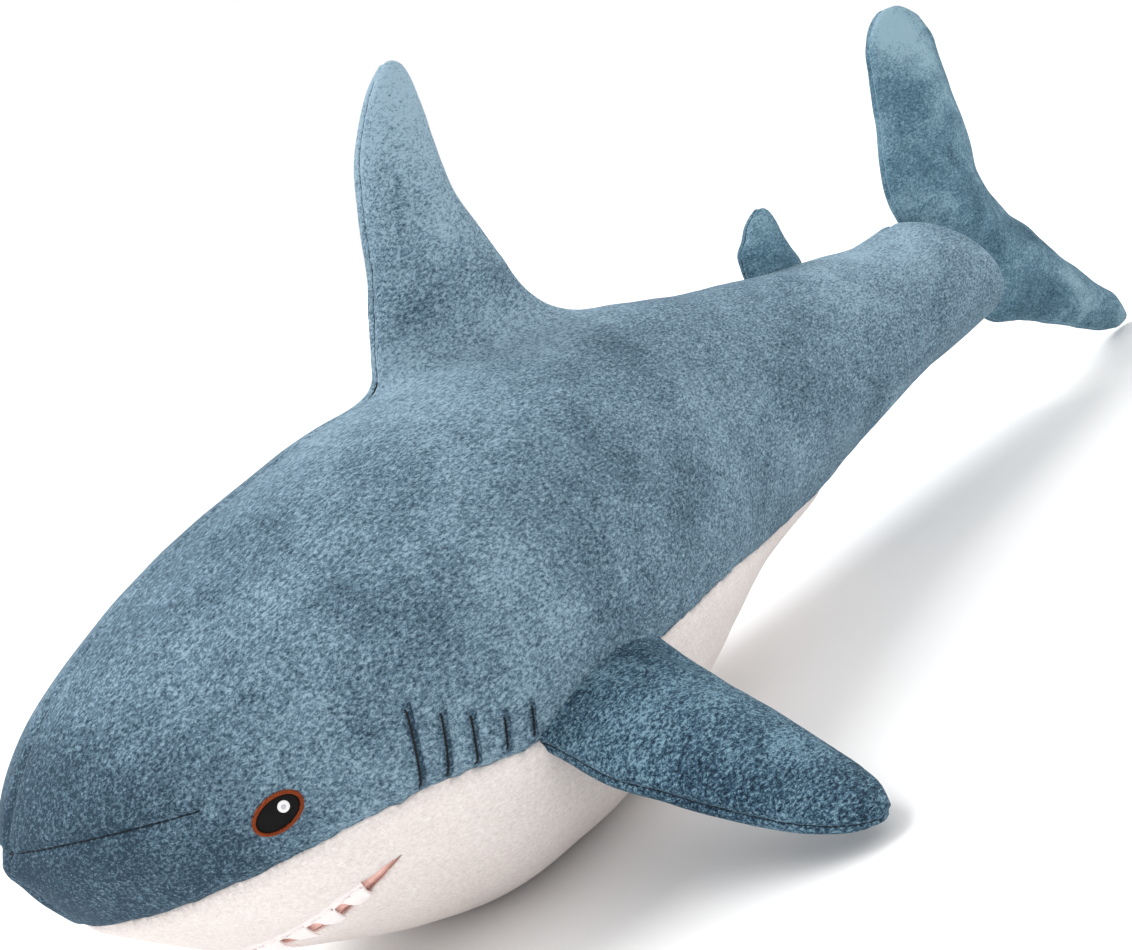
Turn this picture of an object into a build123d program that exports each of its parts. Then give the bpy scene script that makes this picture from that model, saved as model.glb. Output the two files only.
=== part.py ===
from build123d import *
import os
from math import cos, radians, sin

# A stuffed plush shark lying on its belly, in millimetres.
# The nose points along -X, +Z is up, and the shark is symmetric about the plane y = 0.
# The origin is on the floor, under the middle of the length.

# Driving dimensions
SKIN = 3.0  # plush fabric, backing and pile together
LAYER = 1.5  # outer half of the skin, in which threads and teeth lie
THREAD = 1.2  # width of a seam's thread
STITCH = 1.8  # width of a heavy decorative stitch
SOCKET_GAP = 0.5  # room round a fin's root in the body
WAIST = 0.47  # height of a section's widest point, as a share of its height

# Body sections: x, top z, bottom z, half width
BODY_STATIONS = [
    (-499.5, 150, 144, 4),
    (-496, 157, 137, 13),
    (-490, 167, 121, 28.5),
    (-480, 178, 104, 45.5),
    (-460, 195, 82, 68),
    (-430, 211, 57, 88),
    (-395, 224, 35, 106),
    (-350, 236, 13, 123),
    (-300, 245, -2, 130),
    (-250, 251, -5, 126),
    (-200, 251, 0, 117),
    (-150, 246, 11, 104),
    (-100, 241, 26, 90),
    (-50, 234, 41, 77),
    (10, 217, 53, 67),
    (80, 201, 65, 60),
    (150, 189, 75, 56),
    (210, 179, 81, 52),
    (265, 180, 83, 46),
    (330, 182, 86, 38),
]

# Where the tail fin's seam closes the tail stalk
STALK_SEAM_TOP = (257, 180)
STALK_SEAM_BOTTOM = (311, 82)

# Side profile of the seam between the blue back and the white belly: x, z
SIDE_SEAM = [
    (-520, 109),
    (-470, 104),
    (-400, 103),
    (-366, 101),
    (-314, 90),
    (-189, 86),
    (-109, 79),
    (-40, 68),
    (75, 64),
]

# Limits of the zones that cut the skin into panels, all of them past the body
NOSE_LIMIT = -520
SIDE_LIMIT = 150
FLOOR_LIMIT = -30
MOUTH_ZONE_TOP = 95  # between the mouth and the side seam
UNDER_TAIL_ZONE = (400, 100, 130)
SLAB_LENGTH = 1100
SLAB_HEIGHT = 600

# The mouth, seen from below: two arcs that meet at the corners
MOUTH_CORNER = (-387, 99)
UPPER_LIP_X = -438
LOWER_LIP_X = -424
LIP_DEPTH = MOUTH_CORNER[0] - UPPER_LIP_X
LIP_RADIUS = (LIP_DEPTH**2 + MOUTH_CORNER[1] ** 2) / (2 * LIP_DEPTH)
TOOTH_COUNT = 15
TOOTH_ARC = 94  # degrees of the lip's arc that carry teeth
TOOTH_LENGTH = 10
TOOTH_HEM = 3

# Eyes and gills on the left side, mirrored to the right
EYE_CENTER = (-421, -91, 125)
EYE_OUTWARD = (-0.52, -0.85, 0.05)
EYE_LENGTH = 24.4
EYE_HEIGHT = 16.2
EYE_TILT = 12  # degrees that the eye's rear end is raised
EYE_RING = 1.9
EYE_DEPTH = 8
GLINT_RADIUS = 2.6
GLINT_PLACE = (3.7, 1.0)
# Each gill stitch: top (x, z) and bottom (x, z)
GILL_STITCHES = [
    ((-360, 138), (-369, 102)),
    ((-348, 129), (-357, 100)),
    ((-337, 121), (-343, 98)),
    ((-323, 112), (-328, 95)),
    ((-309, 109), (-314, 93)),
]
SNOUT_DART = ((-505, 156), (-444, 141.6))
CLOSING_START = 120
CLOSING_STEP = 9
CLOSING_COUNT = 9
CLOSING_WIDTH = 9
CLOSING_REACH = 120  # from the floor up past the tail's underside
UNDER_TAIL_START = 60  # where the seam under the tail begins

# Fins. A root is a round-ended rolled hem about the fin's hinge axis: start, end, radius.
# A chord joins a leading edge point to a trailing edge point, both given as
# (along the hinge axis, away from the body), with the fin's half thickness there.
SIDE_ROOT = ((-308, -128, 86.2), (-207, -115, 83.8), 20)
SIDE_OUTWARD = (0.096, -0.84, -0.534)
SIDE_CHORDS = [
    ((0, 0), (102, 0), 17),
    ((-6, 30), (93, 28), 21),
    ((1, 62), (84, 60), 19),
    ((11, 96), (77, 94), 15),
    ((22, 120), (71, 118), 11),
    ((35, 136), (65, 134), 7),
    ((45, 143), (58, 142), 4),
]
DORSAL_ROOT = ((-221, 0, 252.5), (-64, 0, 238), 16)
DORSAL_CHORDS = [
    ((0, 0), (157, 0), 13),
    ((3, 17), (133, 17), 17),
    ((16, 36), (120, 36), 20),
    ((28, 61), (110, 61), 20),
    ((37, 92), (102, 92), 18),
    ((47, 119), (102, 117), 15),
    ((62, 142), (104, 138), 11),
    ((75, 156), (103, 152), 8),
    ((86, 164), (99, 162), 4),
]
REAR_ROOT = ((82, 0, 202), (142, 0, 191.5), 7)
REAR_CHORDS = [
    ((0, 0), (61, 0), 5.5),
    ((1, 13), (54, 12), 8),
    ((9, 22), (50, 21), 7.5),
    ((18, 33), (47, 32), 6),
    ((26, 39), (44, 38), 4.5),
    ((31, 42), (39, 42), 3),
]
UPWARD = (0, 0, 1)
LEAST_THICKNESS = 1  # a fin's stuffing ends at the chord that leaves less than this
TAIL_ROOT = ((257.6, 0, 188), (314.4, 0, 83), 24)
REARWARD = (1, 0, 0)
TAIL_CHORDS = [
    ((-68, 149), (-54, 158), 4),
    ((-76, 138), (-43, 161), 8),
    ((-80, 118), (-28, 161), 11),
    ((-76, 98), (-14, 152), 14),
    ((-61, 77), (7, 137), 17),
    ((-40, 50), (44, 113), 19),
    ((0, 16), (62, 96), 20),
    ((59, 4), (80, 90), 20),
    ((122, 8), (102, 90), 20),
    ((164, 29), (127, 97), 19),
    ((194, 49), (164, 104), 17),
    ((224, 70), (196, 112), 14),
    ((252, 90), (230, 121), 11),
    ((266, 103), (253, 129), 8),
    ((274, 116), (274, 127), 4),
]


def flipped(part):
    """The same form on the shark's other side."""
    return mirror(part, about=Plane.XZ, mode=Mode.PRIVATE)


def root_form(root, radius):
    """A round-ended rod about a fin's hinge axis."""
    along = (Vector(*root[1]) - Vector(*root[0])).normalized()
    start, end = Vector(*root[0]) + along * root[2], Vector(*root[1]) - along * root[2]
    with BuildPart() as form:
        with BuildSketch(Plane(origin=start, z_dir=along)):
            Circle(radius)
        extrude(amount=(end - start).length)
        with Locations(start, end):
            Sphere(radius)
    return form.part


def stalk_end():
    """The slanted plane that closes the tail stalk, facing rearwards."""
    (top_x, top_z), (bottom_x, bottom_z) = STALK_SEAM_TOP, STALK_SEAM_BOTTOM
    return Plane(
        origin=(top_x, 0, top_z),
        x_dir=(0, 1, 0),
        z_dir=(top_z - bottom_z, 0, bottom_x - top_x),
    )


def body_form(inset):
    """The stuffed body's closed form, drawn in by inset, with its sockets for the fins."""
    stations = BODY_STATIONS if inset == 0 else BODY_STATIONS[1:]
    room = SOCKET_GAP + inset
    sockets = [root_form(root, root[2] + room) for root in (DORSAL_ROOT, REAR_ROOT, TAIL_ROOT, SIDE_ROOT)]
    sockets.append(flipped(sockets[-1]))
    with BuildPart() as form:
        for x, top, bottom, half_width in stations:
            waist = bottom + WAIST * (top - bottom)
            across, up, down = half_width - inset, top - waist - inset, waist - bottom - inset
            with BuildSketch(Plane.YZ.offset(x)):
                with BuildLine():
                    EllipticalCenterArc((0, waist), across, up, 0, arc_size=180)
                    EllipticalCenterArc((0, waist), across, down, 180, arc_size=180)
                make_face()
        loft()
        split(bisect_by=Plane.XY.offset(inset), keep=Keep.TOP)
        split(bisect_by=stalk_end().offset(-inset), keep=Keep.BOTTOM)
        add(sockets, mode=Mode.SUBTRACT)
    return form.part


def below_side_seam(rise):
    """Everything under the side seam's profile, raised by rise."""
    with BuildPart() as zone:
        with BuildSketch(Plane.XZ):
            with BuildLine():
                seam = Spline([(x, z + rise) for x, z in SIDE_SEAM])
                Polyline(seam @ 1, (SIDE_SEAM[-1][0], FLOOR_LIMIT), (NOSE_LIMIT, FLOOR_LIMIT), seam @ 0)
            make_face()
        extrude(amount=SIDE_LIMIT, both=True)
    return zone.part


def lip_line(middle_x):
    """A lip's arc from corner to corner, seen from below."""
    x, y = MOUTH_CORNER
    return ThreePointArc((x, -y), (middle_x, 0), (x, y))


def mouth_zone():
    """The crescent between the lips."""
    with BuildPart() as zone:
        with BuildSketch(Plane.XY):
            with BuildLine():
                lip_line(UPPER_LIP_X)
                lip_line(LOWER_LIP_X)
            make_face()
        extrude(amount=MOUTH_ZONE_TOP)
    return zone.part


def teeth_zone():
    """The saw-toothed felt strip that hangs from the upper lip, seen from below."""
    center_x = UPPER_LIP_X + LIP_RADIUS
    half = TOOTH_ARC / 2
    step = TOOTH_ARC / TOOTH_COUNT

    def at(angle, radius):
        return (center_x - radius * cos(radians(angle)), radius * sin(radians(angle)))

    inner = LIP_RADIUS - TOOTH_HEM
    with BuildPart() as zone:
        with BuildSketch(Plane.XY):
            with BuildLine():
                ThreePointArc(at(-half, LIP_RADIUS), at(0, LIP_RADIUS), at(half, LIP_RADIUS))
                Line(at(half, LIP_RADIUS), at(half, inner))
                ThreePointArc(at(half, inner), at(0, inner), at(-half, inner))
                Line(at(-half, inner), at(-half, LIP_RADIUS))
            make_face()
            for number in range(TOOTH_COUNT):
                start = -half + number * step
                with BuildLine():
                    Polyline(
                        at(start + 0.02 * step, inner + 0.5),
                        at(start + 0.98 * step, inner + 0.5),
                        at(start + 0.60 * step, LIP_RADIUS - TOOTH_LENGTH),
                        at(start + 0.40 * step, LIP_RADIUS - TOOTH_LENGTH),
                        close=True,
                    )
                make_face()
        extrude(amount=MOUTH_ZONE_TOP)
    return zone.part


def middle_slab(width):
    """A thin slab on the shark's plane of symmetry."""
    with BuildPart() as zone:
        Box(SLAB_LENGTH, width, SLAB_HEIGHT)
    return zone.part


def stripe(start, end, width, side):
    """A thin slab through a line of the side profile, on one side of the shark."""
    (x0, z0), (x1, z1) = start, end
    along = Vector(x1 - x0, 0, z1 - z0)
    plane = Plane(origin=((x0 + x1) / 2, 0, (z0 + z1) / 2), x_dir=along, z_dir=(0, side, 0))
    with BuildPart() as zone:
        with BuildSketch(plane):
            Rectangle(along.length, width)
        extrude(amount=SIDE_LIMIT)
    return zone.part


def fin_plane(root, outward):
    """A fin's middle plane: x along the hinge axis, y away from the body."""
    along = (Vector(*root[1]) - Vector(*root[0])).normalized()
    return Plane(origin=root[0], x_dir=along, z_dir=along.cross(Vector(*outward)))


def blade_form(plane, chords, inset):
    """A fin's blade, lofted through an ellipse on each chord that is thick enough."""
    with BuildPart() as form:
        for lead, trail, half_thickness in chords:
            if half_thickness < inset + LEAST_THICKNESS:
                continue
            front = plane.from_local_coords((lead[0], lead[1], 0))
            back = plane.from_local_coords((trail[0], trail[1], 0))
            chord = back - front
            section = Plane(origin=(front + back) / 2, x_dir=chord, z_dir=plane.z_dir.cross(chord))
            with BuildSketch(section):
                Ellipse(chord.length / 2 - inset, half_thickness - inset)
        loft()
    return form.part


def fin_form(root, outward, chords, inset):
    """A stuffed fin's closed form, drawn in by inset: its blade and its rolled root."""
    blade = blade_form(fin_plane(root, outward), chords, inset)
    rolled_root = root_form(root, root[2] - inset)
    with BuildPart() as form:
        add(blade)
        add(rolled_root)
    return form.part


def eye_zone(half_length, half_height, place=(0, 0)):
    """An elliptic plug through the left cheek, centred at place on the eye's own plane."""
    outward = Vector(*EYE_OUTWARD)
    plane = Plane(origin=EYE_CENTER, x_dir=Vector(0, 0, 1).cross(outward), z_dir=outward)
    tilted = plane.rotated((0, 0, EYE_TILT))
    with BuildPart() as zone:
        with BuildSketch(tilted):
            with Locations(place):
                Ellipse(half_length, half_height)
        extrude(amount=EYE_DEPTH, both=True)
    return zone.part


def closing_zone():
    """A row of thin slabs across the seam under the tail."""
    with BuildPart() as zone:
        for number in range(CLOSING_COUNT):
            with Locations((CLOSING_START + number * CLOSING_STEP, 0, CLOSING_REACH / 2)):
                Box(THREAD, CLOSING_WIDTH, CLOSING_REACH)
    return zone.part


def write(builder, name):
    """Labels a finished piece and writes it under its own name."""
    builder.part.label = name
    export_step(builder.part, f"parts/{name}.step")


def fin_pieces(name, root, outward, chords, sides):
    """Writes a fin's stuffing, seam thread and two panels, and returns them by name."""
    outside = fin_form(root, outward, chords, 0)
    inside = fin_form(root, outward, chords, SKIN)
    seam = fin_plane(root, outward)

    with BuildPart() as stuffing:
        add(inside)

    with BuildPart() as shell:
        add(outside)
        add(inside, mode=Mode.SUBTRACT)

    with BuildPart() as first_panel:
        add(shell.part)
        split(bisect_by=seam.offset(THREAD / 2), keep=Keep.TOP)

    with BuildPart() as second_panel:
        if sides == ("left", "right"):
            add(flipped(first_panel.part))
        else:
            add(shell.part)
            split(bisect_by=seam.offset(-THREAD / 2), keep=Keep.BOTTOM)

    with BuildPart() as thread:
        add(shell.part)
        split(bisect_by=seam.offset(THREAD / 2), keep=Keep.BOTTOM)
        split(bisect_by=seam.offset(-THREAD / 2), keep=Keep.TOP)

    pieces = {
        "stuffing": stuffing,
        f"{sides[0]}_panel": first_panel,
        f"{sides[1]}_panel": second_panel,
        "seam_thread": thread,
    }
    for piece_name, piece in pieces.items():
        write(piece, f"{name}_{piece_name}")
    return pieces


os.makedirs("parts", exist_ok=True)

# The body's skin and its outer layer
body_outside = body_form(0)
body_middle = body_form(LAYER)
body_inside = body_form(SKIN)
white_zone = below_side_seam(0)
seam_zone = below_side_seam(THREAD / 2) - below_side_seam(-THREAD / 2)
with BuildPart() as under_tail_zone:
    with Locations((UNDER_TAIL_START, 0, 0)):
        Box(*UNDER_TAIL_ZONE, align=(Align.MIN, Align.CENTER, Align.MIN))
under_tail = under_tail_zone.part

with BuildPart() as body_stuffing:
    add(body_inside)
write(body_stuffing, "body_stuffing")

with BuildPart() as skin:
    add(body_outside)
    add(body_inside, mode=Mode.SUBTRACT)

with BuildPart() as outer_layer:
    add(body_outside)
    add(body_middle, mode=Mode.SUBTRACT)

# Threads along the seams, set flush in the skin's outer layer
with BuildPart() as side_seam_thread:
    add(outer_layer.part)
    add(seam_zone, mode=Mode.INTERSECT)
write(side_seam_thread, "side_seam_thread")

with BuildPart() as middle_thread:
    add(outer_layer.part)
    add(middle_slab(THREAD), mode=Mode.INTERSECT)
    add(below_side_seam(THREAD / 2), mode=Mode.SUBTRACT)

with BuildPart() as back_seam_thread:
    add(middle_thread.part)
    add(under_tail, mode=Mode.SUBTRACT)
write(back_seam_thread, "back_seam_thread")

with BuildPart() as under_tail_seam_thread:
    add(middle_thread.part)
    add(under_tail, mode=Mode.INTERSECT)
write(under_tail_seam_thread, "under_tail_seam_thread")

dart_zone = stripe(*SNOUT_DART, THREAD, -1)
with BuildPart() as snout_dart_threads:
    add(outer_layer.part)
    add([dart_zone, flipped(dart_zone)], mode=Mode.INTERSECT)
    add(middle_thread.part, mode=Mode.SUBTRACT)
write(snout_dart_threads, "snout_dart_threads")

# Hand stitches that close the stuffing opening under the tail
with BuildPart() as closing_stitches:
    add(outer_layer.part)
    add(closing_zone(), mode=Mode.INTERSECT)
    add(middle_thread.part, mode=Mode.SUBTRACT)
write(closing_stitches, "closing_stitches")

# Mouth: a pink lining under the gap between the lips, and a saw-toothed felt strip
with BuildPart() as mouth_lining:
    add(body_middle)
    add(body_inside, mode=Mode.SUBTRACT)
    add(mouth_zone(), mode=Mode.INTERSECT)
write(mouth_lining, "mouth_lining")

with BuildPart() as upper_teeth:
    add(outer_layer.part)
    add(teeth_zone(), mode=Mode.INTERSECT)
write(upper_teeth, "upper_teeth")

# Gills and eyes, the same on both sides
gill_zones = [stripe(top, bottom, STITCH, -1) for top, bottom in GILL_STITCHES]
with BuildPart() as left_gill_stitches:
    add(outer_layer.part)
    add(gill_zones, mode=Mode.INTERSECT)
    add(side_seam_thread.part, mode=Mode.SUBTRACT)
write(left_gill_stitches, "left_gill_stitches")

with BuildPart() as left_eye_glint:
    add(outer_layer.part)
    add(eye_zone(GLINT_RADIUS, GLINT_RADIUS, GLINT_PLACE), mode=Mode.INTERSECT)
write(left_eye_glint, "left_eye_glint")

with BuildPart() as left_eye_pupil:
    add(outer_layer.part)
    add(eye_zone(EYE_LENGTH / 2 - EYE_RING, EYE_HEIGHT / 2 - EYE_RING), mode=Mode.INTERSECT)
    add(left_eye_glint.part, mode=Mode.SUBTRACT)
write(left_eye_pupil, "left_eye_pupil")

with BuildPart() as left_eye_ring:
    add(outer_layer.part)
    add(eye_zone(EYE_LENGTH / 2, EYE_HEIGHT / 2), mode=Mode.INTERSECT)
    add([left_eye_pupil.part, left_eye_glint.part], mode=Mode.SUBTRACT)
write(left_eye_ring, "left_eye_ring")

left_trim = [left_gill_stitches, left_eye_glint, left_eye_pupil, left_eye_ring]
for trim, name in zip(left_trim, ("gill_stitches", "eye_glint", "eye_pupil", "eye_ring")):
    with BuildPart() as right_trim:
        add(flipped(trim.part))
    write(right_trim, f"right_{name}")

# Skin panels
threads = [piece.part for piece in (side_seam_thread, middle_thread, snout_dart_threads, closing_stitches)]
with BuildPart() as back_panel_left:
    add(skin.part)
    add(white_zone, mode=Mode.SUBTRACT)
    split(bisect_by=Plane.XZ, keep=Keep.TOP)
    add(threads + [trim.part for trim in left_trim], mode=Mode.SUBTRACT)
write(back_panel_left, "back_panel_left")

with BuildPart() as back_panel_right:
    add(flipped(back_panel_left.part))
write(back_panel_right, "back_panel_right")

with BuildPart() as belly_panel:
    add(skin.part)
    add(white_zone, mode=Mode.INTERSECT)
    add(mouth_zone(), mode=Mode.SUBTRACT)
    add([side_seam_thread.part, upper_teeth.part], mode=Mode.SUBTRACT)
write(belly_panel, "belly_panel")

# Fins, each of two panels, a seam thread and its own stuffing
fin_pieces("dorsal_fin", DORSAL_ROOT, UPWARD, DORSAL_CHORDS, ("left", "right"))
fin_pieces("rear_fin", REAR_ROOT, UPWARD, REAR_CHORDS, ("left", "right"))
fin_pieces("tail_fin", TAIL_ROOT, REARWARD, TAIL_CHORDS, ("left", "right"))
left_fin = fin_pieces("left_fin", SIDE_ROOT, SIDE_OUTWARD, SIDE_CHORDS, ("lower", "upper"))
for piece_name, piece in left_fin.items():
    with BuildPart() as right_fin_piece:
        add(flipped(piece.part))
    write(right_fin_piece, f"right_fin_{piece_name}")
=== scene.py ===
"""A stuffed plush shark on its belly: sewn plush panels, felt teeth, embroidered eyes and gill stitches.

Sizes are in millimetres in the row frame, with the nose along -X, and become metres where a mesh is made.
"""
from math import cos, pi, radians, sin

import bmesh
import bpy
import numpy as np
from mathutils import Matrix, Vector, noise
from mathutils.bvhtree import BVHTree
from mathutils.kdtree import KDTree


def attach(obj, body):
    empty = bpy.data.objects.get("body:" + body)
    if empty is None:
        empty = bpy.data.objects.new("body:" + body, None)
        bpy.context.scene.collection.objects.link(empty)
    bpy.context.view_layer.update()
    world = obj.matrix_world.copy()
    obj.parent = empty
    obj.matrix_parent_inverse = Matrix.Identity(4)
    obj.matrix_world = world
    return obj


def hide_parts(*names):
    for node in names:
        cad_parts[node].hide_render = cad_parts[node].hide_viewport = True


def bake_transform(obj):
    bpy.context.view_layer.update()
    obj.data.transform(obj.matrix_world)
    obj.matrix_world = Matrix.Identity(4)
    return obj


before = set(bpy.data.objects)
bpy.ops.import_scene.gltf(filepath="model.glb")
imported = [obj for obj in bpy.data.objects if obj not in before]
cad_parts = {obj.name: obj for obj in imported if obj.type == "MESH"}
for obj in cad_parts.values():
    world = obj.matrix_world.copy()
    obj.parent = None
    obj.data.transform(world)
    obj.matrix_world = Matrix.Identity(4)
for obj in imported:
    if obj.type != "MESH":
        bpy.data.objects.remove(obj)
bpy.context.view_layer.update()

MM = 0.001
SMOOTHING, SMOOTHING_BACK = 0.5, 0.47

# ---- camera, floor and light

CAMERA_PLACE = (-700.1, -694.0, 313.4)
CAMERA_AZIMUTH = -39.63
CAMERA_ELEVATION = 9.85
CAMERA_ROLL = -25.42
CAMERA_LENS = 50.62
FLOOR_SIZE = 60.0
WORLD_STRENGTH = 1.0
KEY_FROM = (-0.35, 0.45, 1.0)  # the direction that the soft key light comes from
KEY_STRENGTH = 2.0
KEY_ANGLE = 35


def make_camera():
    azimuth, elevation, roll = (radians(a) for a in (CAMERA_AZIMUTH, CAMERA_ELEVATION, CAMERA_ROLL))
    back = Vector((sin(azimuth) * cos(elevation), -cos(azimuth) * cos(elevation), sin(elevation)))
    level = Vector((cos(azimuth), sin(azimuth), 0))
    upright = back.cross(level)
    right = cos(roll) * level + sin(roll) * upright
    up = cos(roll) * upright - sin(roll) * level
    camera = bpy.data.objects.new("camera", bpy.data.cameras.new("camera"))
    camera.data.sensor_width = 36
    camera.data.lens = CAMERA_LENS
    camera.data.clip_end = 200
    matrix = Matrix((right, up, back)).transposed().to_4x4()
    matrix.translation = Vector(CAMERA_PLACE) * MM
    camera.matrix_world = matrix
    bpy.context.collection.objects.link(camera)
    bpy.context.scene.camera = camera


def make_floor():
    mesh = bpy.data.meshes.new("floor")
    half = FLOOR_SIZE / 2
    corners = [(-half, -half, 0), (half, -half, 0), (half, half, 0), (-half, half, 0)]
    mesh.from_pydata(corners, [], [(0, 1, 2, 3)])
    floor = bpy.data.objects.new("floor", mesh)
    bpy.context.collection.objects.link(floor)
    material = bpy.data.materials.new("floor")
    material.use_nodes = True
    shader = material.node_tree.nodes["Principled BSDF"]
    shader.inputs["Base Color"].default_value = (0.93, 0.93, 0.93, 1)
    shader.inputs["Roughness"].default_value = 0.9
    shader.inputs["Specular IOR Level"].default_value = 0.1
    mesh.materials.append(material)


def make_light():
    """A white studio with one large soft key light from the upper left."""
    world = bpy.data.worlds.new("studio")
    world.use_nodes = True
    background = world.node_tree.nodes["Background"]
    background.inputs["Color"].default_value = (1, 1, 1, 1)
    background.inputs["Strength"].default_value = WORLD_STRENGTH
    bpy.context.scene.world = world
    bpy.context.scene.view_settings.view_transform = "Standard"
    key = bpy.data.objects.new("key", bpy.data.lights.new("key", "SUN"))
    key.data.energy = KEY_STRENGTH
    key.data.angle = radians(KEY_ANGLE)
    key.rotation_euler = (-Vector(KEY_FROM)).to_track_quat("-Z", "Y").to_euler()
    bpy.context.collection.objects.link(key)


# ---- forms, as arrays of points and faces


def through(xs, ys, at):
    """A smooth curve through points that doesn't overshoot them: a monotone cubic."""
    xs, ys, at = np.asarray(xs, float), np.asarray(ys, float), np.asarray(at, float)
    step = np.diff(xs)
    slope = np.diff(ys) / step
    same = slope[:-1] * slope[1:] > 0
    early, late = 2 * step[1:] + step[:-1], step[1:] + 2 * step[:-1]
    safe = np.where(same, slope[:-1], 1), np.where(same, slope[1:], 1)
    inner = np.where(same, (early + late) / (early / safe[0] + late / safe[1]), 0)
    tangent = np.concatenate([slope[:1], inner, slope[-1:]])
    i = np.clip(np.searchsorted(xs, at) - 1, 0, len(xs) - 2)
    t = np.clip((at - xs[i]) / step[i], 0, 1)
    return (
        ys[i] * (1 + 2 * t) * (1 - t) ** 2
        + ys[i + 1] * t * t * (3 - 2 * t)
        + step[i] * (tangent[i] * t * (1 - t) ** 2 + tangent[i + 1] * t * t * (t - 1))
    )


def bell(distance, width):
    return np.exp(-((distance / width) ** 2))


def ramp(value, start, end):
    """0 before start, 1 after end, smooth in between."""
    t = np.clip((value - start) / (end - start), 0, 1)
    return t * t * (3 - 2 * t)


def power_wave(wave, exponent):
    return np.sign(wave) * np.abs(wave) ** (2 / exponent)


def tube_faces(rings, around):
    """The faces of a closed tube of rings, and the two caps."""
    faces = []
    for i in range(rings - 1):
        for j in range(around):
            k = (j + 1) % around
            faces.append((i * around + j, i * around + k, (i + 1) * around + k, (i + 1) * around + j))
    faces.append(tuple(range(around - 1, -1, -1)))
    faces.append(tuple((rings - 1) * around + j for j in range(around)))
    return faces


def joined(forms):
    points, faces, count = [], [], 0
    for form_points, form_faces in forms:
        points.append(form_points)
        faces.extend(tuple(i + count for i in face) for face in form_faces)
        count += len(form_points)
    return np.concatenate(points), faces


def remeshed(form, voxel):
    """One even skin round all of a form's overlapping pieces."""
    points, faces = form
    mesh = bpy.data.meshes.new("rough")
    mesh.from_pydata((points * MM).tolist(), [], faces)
    rough = bpy.data.objects.new("rough", mesh)
    bpy.context.collection.objects.link(rough)
    modifier = rough.modifiers.new("skin", "REMESH")
    modifier.mode = "VOXEL"
    modifier.voxel_size = voxel * MM
    modifier.adaptivity = 0
    graph = bpy.context.evaluated_depsgraph_get()
    skin = rough.evaluated_get(graph).to_mesh()
    result = np.empty(len(skin.vertices) * 3)
    skin.vertices.foreach_get("co", result)
    result_faces = [tuple(polygon.vertices) for polygon in skin.polygons]
    rough.evaluated_get(graph).to_mesh_clear()
    bpy.data.objects.remove(rough)
    bpy.data.meshes.remove(mesh)
    return result.reshape(-1, 3) / MM, result_faces


def edges_of(faces):
    quads = np.array([face for face in faces if len(face) == 4])
    pairs = np.concatenate([quads[:, [k, (k + 1) % 4]] for k in range(4)])
    others = [(face[k - 1], face[k]) for face in faces if len(face) != 4 for k in range(len(face))]
    if others:
        pairs = np.concatenate([pairs, np.array(others)])
    return np.unique(np.sort(pairs, axis=1), axis=0)


def between_neighbours(points, edges):
    """Each point's place in the middle of the points that an edge joins it to."""
    a, b = edges[:, 0], edges[:, 1]
    count = len(points)
    degree = np.maximum(np.bincount(a, minlength=count) + np.bincount(b, minlength=count), 1)
    middle = np.empty_like(points)
    for axis in range(3):
        near = np.bincount(a, points[b, axis], count) + np.bincount(b, points[a, axis], count)
        middle[:, axis] = near / degree
    return middle


def smoothed(points, faces, rounds):
    """Points drawn towards their neighbours, and back out a little, so that the form keeps its size."""
    edges = edges_of(faces)
    for number in range(rounds):
        strength = SMOOTHING if number % 2 == 0 else -SMOOTHING_BACK
        points = points + (between_neighbours(points, edges) - points) * strength
    return points


def softened(points, faces, weight, rounds):
    """Points drawn towards their neighbours where weight is above 0, as at the corner beside a fin."""
    edges = edges_of(faces)
    edges = edges[(weight > 0.001)[edges].any(axis=1)]
    for _ in range(rounds):
        step = (between_neighbours(points, edges) - points) * SMOOTHING
        points = points + step * weight[:, None]
    return points


def normals_of(points, faces):
    mesh = bpy.data.meshes.new("normals")
    mesh.from_pydata(points.tolist(), [], faces)
    normals = np.empty(len(points) * 3)
    mesh.vertices.foreach_get("normal", normals)
    bpy.data.meshes.remove(mesh)
    return normals.reshape(-1, 3)


def distance_to(points, targets, reach):
    """Each point's distance to the nearest target, or reach where none is nearer."""
    result = np.full(len(points), float(reach))
    low, high = targets.min(axis=0) - reach, targets.max(axis=0) + reach
    near = np.nonzero(((points > low) & (points < high)).all(axis=1))[0]
    tree = KDTree(len(targets))
    for i, target in enumerate(targets):
        tree.insert(target, i)
    tree.balance()
    for i in near:
        result[i] = min(reach, tree.find(points[i])[2])
    return result


def creased(points, normals, creases):
    """Folds pressed into the fabric. Each crease is its points, its width and its depth."""
    tree = KDTree(len(points))
    for i, point in enumerate(points):
        tree.insert(point, i)
    tree.balance()
    for path, width, depth in creases:
        path = even_path(path, 2.0, 2)
        line = np.array([points[tree.find(point)[1]] for point in path])
        reach = 3.5 * width
        near = np.nonzero(distance_to(points, line, reach) < reach)[0]
        gap = np.linalg.norm(points[near][:, None] - line[None], axis=2)
        place = gap.argmin(axis=1) / (len(line) - 1)
        gap = gap.min(axis=1)
        fade = np.sin(np.clip(place, 0.03, 0.97) * pi) ** 0.5
        push = (bell(gap, width) - 0.4 * bell(gap, 2.4 * width)) * fade * depth
        points[near] -= normals[near] * push[:, None]
    return points


def billows(points, size, seed):
    """Slow, soft unevenness from -1 to 1, as stuffing gives to fabric."""
    shift = Vector((seed * 7.3, seed * 3.1, seed * 5.7))
    return np.array([noise.noise(Vector(point) / size + shift) for point in points])


# ---- cutting forms into sewn panels


def sewing_mesh(points, faces):
    bm = bmesh.new()
    verts = [bm.verts.new(point) for point in points]
    for face in faces:
        bm.faces.new([verts[i] for i in face])
    bm.edges.layers.int.new("seam")
    bm.faces.layers.int.new("panel")
    bm.verts.layers.float_vector.new("place")
    bm.normal_update()
    return bm


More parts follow.
